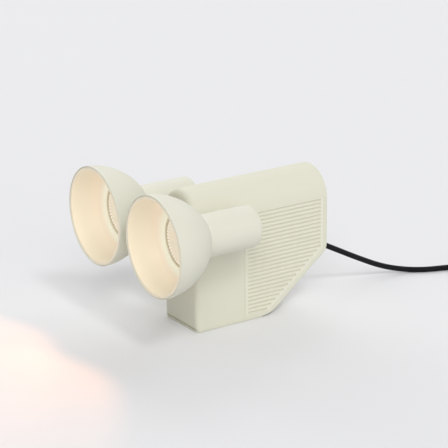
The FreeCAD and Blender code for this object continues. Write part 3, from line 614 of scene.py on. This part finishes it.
def arcBetween(start, end, radius, count):
    # Points of (radius, y) on an arc that bulges outwards from start to end.
    across, along = end[0] - start[0], end[1] - start[1]
    chord = math.hypot(across, along)
    back = math.sqrt(radius ** 2 - (chord / 2) ** 2) / chord
    centre = ((start[0] + end[0]) / 2 - back * along, (start[1] + end[1]) / 2 + back * across)
    first = math.atan2(start[1] - centre[1], start[0] - centre[0])
    last = math.atan2(end[1] - centre[1], end[0] - centre[0])
    angles = [first + (last - first) * i / count for i in range(count + 1)]
    return [(centre[0] + radius * math.cos(a), centre[1] + radius * math.sin(a)) for a in angles]


bowlSkinWants = {
    "rimRadius": 0.04663,
    "rimBack": 0.0005,                        # how far the skin starts behind the rim
    "neckRadius": 0.01955,
    "depth": 0.0488,                          # from the rim to where the bowl meets the neck
    "arc": 0.060,
    "wall": 0.0005,
    "steps": 48,
    "turns": 192,
}


def makeBowlSkin(side, wants, material):
    # The bowl's full back, over the shell's: it meets the neck in a rounder shoulder.
    start = (wants["rimRadius"], rimY + wants["rimBack"])
    end = (wants["neckRadius"], rimY + wants["depth"])
    outer = arcBetween(start, end, wants["arc"], wants["steps"])
    wall = wants["wall"]
    inner = arcBetween((start[0] - wall, start[1] + wall / 2), (end[0] - wall, end[1] - wall),
                       wants["arc"], wants["steps"])
    mesh = lathe(f"{side}BowlSkin", outer + inner[::-1], wants["turns"], headX * sides[side])
    addPiece(f"{side}BowlSkin", mesh, material, f"{side}_head")


footRimWants = {
    "inset": 0.0005,                          # inside the casing's side and front
    "length": 0.0718,                         # back to where the chamfer starts to rise
    "bottom": 0.00015,                        # a hair's gap over the table
    "top": 0.0019,
    "width": 0.0018,
    "cornerRadius": 0.0045,
    "cornerSteps": 12,
    "edgeRadius": 0.0005,
    "edgeSteps": 4,
}


def roundEdges(work, edges, radius, steps):
    bmesh.ops.bevel(work, geom=edges, offset=radius, segments=steps, affect="EDGES",
                    profile=0.5, material=-1)


def isLevel(face):
    # It looks up or down.
    return abs(face.normal.z) > 0.9


def makeFootRim(wants, material):
    # A low rim under the casing that closes the gap over the table round its feet.
    work = bmesh.new()
    bmesh.ops.create_cube(work, size=1)
    half = casingHalf - wants["inset"]
    low = Vector((-half, casingLow.y + wants["inset"], wants["bottom"]))
    high = Vector((half, casingLow.y + wants["length"], wants["top"]))
    bmesh.ops.scale(work, vec=high - low, verts=work.verts)
    bmesh.ops.translate(work, vec=(low + high) / 2, verts=work.verts)
    height = high.z - low.z
    front = [edge for edge in work.edges
             if edge.calc_length() < height + tiny and edge.verts[0].co.y < low.y + tiny]
    roundEdges(work, front, wants["cornerRadius"], wants["cornerSteps"])
    level = [face for face in work.faces if isLevel(face)]
    bmesh.ops.inset_individual(work, faces=level, thickness=wants["width"], use_even_offset=True)
    rings = [edge for face in level for edge in face.edges]
    bmesh.ops.delete(work, geom=level, context="FACES_ONLY")
    bmesh.ops.bridge_loops(work, edges=rings)
    under = [edge for edge in work.edges if all(v.co.z < low.z + tiny for v in edge.verts)
             and not all(isLevel(face) for face in edge.link_faces)]
    roundEdges(work, under, wants["edgeRadius"], wants["edgeSteps"])
    bmesh.ops.recalc_face_normals(work, faces=work.faces)
    addPiece("footRim", meshFrom(work, "footRim"), material, "casing")


# Finishes of the nodes that stay as they are

plainFinishes = {
    "casing_paint": paintedMetal("casingPaint", casingPaintWants, grooveWants),
    "black_plastic": moulded("blackPlastic", plasticWants["black"]),
    "bush_plastic": moulded("bushPlastic", plasticWants["bush"]),
    "inner_plastic": moulded("innerPlastic", plasticWants["inner"]),
    "lamp_ceramic": moulded("lampCeramic", plasticWants["ceramic"]),
    "foot_rubber": moulded("footRubber", plasticWants["rubber"]),
    "lead_sleeve": moulded("leadSleeve", plasticWants["sleeve"]),
    "plated_steel": plated("platedSteel", metalWants["plated"]),
    "pin_metal": plated("pinMetal", metalWants["pin"]),
    "lamp_body": plated("lampMirror", metalWants["pin"]),
    "cord_textile": moulded("cordEndCloth", plasticWants["black"]),
}

# the casing's coat, paler and cooler for the heads as painted light
headPaintLit = paintedMetal("headPaintLit", headPaintLitWants)

for row in frame["record"]["subparts"]:
    node, slotName = row["node"], row["material_slot"]
    side = node.split("_")[0]                 # right or left, where a head has the node
    if node.endswith("head_shell"):
        wear(nodes[node], headPaintLit)
    elif slotName in plainFinishes:
        wear(nodes[node], plainFinishes[slotName])
    elif slotName == "bowl_enamel":
        wear(nodes[node], bowlEnamel(f"{side}BowlEnamel", bowlWants, side))
    else:
        wear(nodes[node], frostedLens(f"{side}Lens", lensWants, side))
print("stage: finishes")

for side in sides:
    makeBowlSkin(side, bowlSkinWants, headPaintLit)
print("stage: bowls")

makeFootRim(footRimWants, plainFinishes["casing_paint"])
print("stage: foot rim")


# Floor, light and background

stageWants = {
    "floorRadius": 12.0,
    "floorSides": 64,
    "floorTone": (0.798, 0.798, 0.814),
    "floorRoughness": 0.9,
    "floorSpecular": 0.1,
    "worldLight": 0.387,
    "background": (0.80, 0.80, 0.80),
}

lightWants = {                                # degrees round from +X towards +Y, up, and across
    "key": {"round": -6, "up": 50, "across": 12, "strength": 0.623},
    "viewer": {"round": -33, "up": 38, "across": 30, "strength": 0.897},
    "rightLow": {"round": 0, "up": 18, "across": 36, "strength": 0.394},
    "leftLow": {"round": 180, "up": 18, "across": 36, "strength": 0.677},
    "behind": {"round": 90, "up": 48, "across": 36, "strength": 0.308},
    "behindLeft": {"round": 120, "up": 38, "across": 30, "strength": 0.243},
    "left": {"round": 150, "up": 38, "across": 30, "strength": 0.494},
}

lampWants = {
    "radius": 0.004,
    "power": 0.62,
    "colour": (1.0, 0.42, 0.18),
    "beam": 109,                              # degrees across
    "softEdge": 0.35,
    "ahead": 0.001,                           # of the lens
}


def makeFloor(wants):
    work = bmesh.new()
    bmesh.ops.create_circle(work, cap_ends=True, segments=wants["floorSides"],
                            radius=wants["floorRadius"])
    paper = Finish("floorPaper", Base_Color=(*wants["floorTone"], 1),
                   Roughness=wants["floorRoughness"], Specular_IOR_Level=wants["floorSpecular"])
    newPiece("floor", meshFrom(work, "floor"), paper.material)


def makeWorld(wants):
    # White light from all round, with a plain pale tone wherever the world itself is seen.
    world = bpy.data.worlds.new("studio")
    bpy.context.scene.world = world
    world.use_nodes = True
    studio = Board(world.node_tree)
    studio.tree.nodes.remove(studio.tree.nodes["Background"])
    light = studio.node("ShaderNodeBackground", None,
                        {"Color": (1, 1, 1, 1), "Strength": wants["worldLight"]})
    seen = studio.node("ShaderNodeBackground", None, {"Color": (*wants["background"], 1)})
    camera, glossy, through = (studio.node("ShaderNodeLightPath", output=f"Is {kind} Ray")
                               for kind in ("Camera", "Glossy", "Transmission"))
    shown = studio.reckon("MAXIMUM", studio.reckon("MAXIMUM", camera, glossy), through)
    mixed = studio.node("ShaderNodeMixShader", None, {0: shown, 1: light, 2: seen})
    studio.tree.links.new(mixed.socket, studio.tree.nodes["World Output"].inputs["Surface"])


def makeStudioLight(name, wants):
    # A large far lamp, which lights all of the floor alike.
    data = bpy.data.lights.new(name, "SUN")
    data.angle = math.radians(wants["across"])
    data.energy = wants["strength"]
    light = bpy.data.objects.new(name, data)
    light.matrix_world = (Matrix.Rotation(math.radians(wants["round"]), 4, "Z")
                          @ Matrix.Rotation(math.radians(90 - wants["up"]), 4, "Y"))
    bpy.context.scene.collection.objects.link(light)


def makeLampLight(side, wants):
    # The light of the lamp itself, which tilts with its head.
    data = bpy.data.lights.new(f"{side}Beam", "SPOT")
    data.shadow_soft_size = wants["radius"]
    data.energy = wants["power"]
    data.color = wants["colour"]
    data.spot_size = math.radians(wants["beam"])
    data.spot_blend = wants["softEdge"]
    light = bpy.data.objects.new(f"{side}Beam", data)
    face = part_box(f"{side}_lamp_lens")[0].y - wants["ahead"]
    at = Vector((headX * sides[side], face, axisZ))
    light.matrix_world = Matrix.Translation(at) @ Matrix.Rotation(-math.pi / 2, 4, "X")
    bpy.context.scene.collection.objects.link(light)
    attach(light, f"{side}_head")


makeFloor(stageWants)
makeWorld(stageWants)
for name, wants in lightWants.items():
    makeStudioLight(name, wants)
for side in sides:
    makeLampLight(side, lampWants)
bpy.context.scene.view_settings.view_transform = "Standard"
print("stage: floor and lights")
